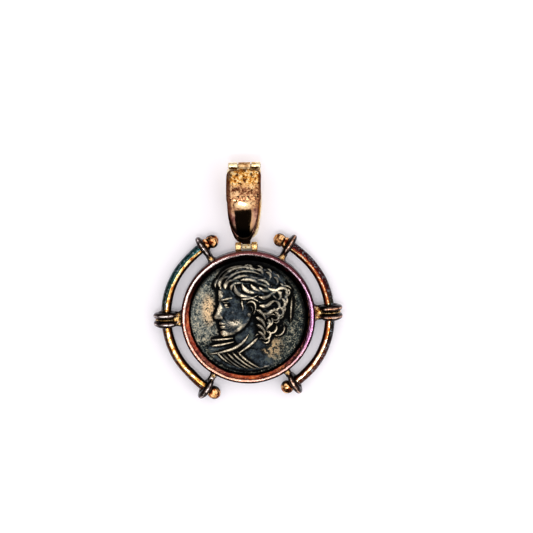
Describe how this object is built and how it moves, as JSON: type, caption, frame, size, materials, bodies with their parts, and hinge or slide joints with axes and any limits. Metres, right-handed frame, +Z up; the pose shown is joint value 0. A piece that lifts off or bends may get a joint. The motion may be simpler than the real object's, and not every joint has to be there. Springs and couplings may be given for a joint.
{
  "type": "coin pendant",
  "caption": "Coin pendant: a head coin in a round bezel, with an outer frame of round wire held by wire loops and a hinged snap bail.",
  "frame": {"origin": "middle of the pendant's footprint as it lies face up, on the resting plane", "axes": "+Y from the coin towards the bail, +X to the right as the coin is seen, +Z up out of the coin's face"},
  "size_m": [0.0306, 0.0386, 0.0072],
  "materials": {
    "bezel_metal": "heat-tinted silver, worn to a pink-white ridge",
    "coin_silver": "blackened silver, worn pale on the high relief",
    "frame_wire": "gilt silver with heat tints",
    "bail_gold": "gilt silver with brown tarnish spots",
    "hinge_pin": "plain wire"
  },
  "bodies": {
    "pendant": {"bezel": "bezel_metal", "coin": "coin_silver", "frame_wire_left": "frame_wire", "frame_wire_right": "frame_wire", "base_hinge_pin": "hinge_pin"},
    "front_leaf": {"bail_front": "bail_gold", "top_hinge_pin": "hinge_pin"},
    "back_leaf": {"bail_back": "bail_gold"}
  },
  "joints": [
    {"name": "bail_swing", "type": "hinge", "parent": "pendant", "child": "front_leaf", "pos_m": [0, 0.00552, 0.0023], "axis": [1, 0, 0], "range_deg": [-66, 48]},
    {"name": "bail_latch", "type": "hinge", "parent": "front_leaf", "child": "back_leaf", "pos_m": [0, 0.01876, 0.00492], "axis": [1, 0, 0], "range_deg": [0, 60]}
  ]
}
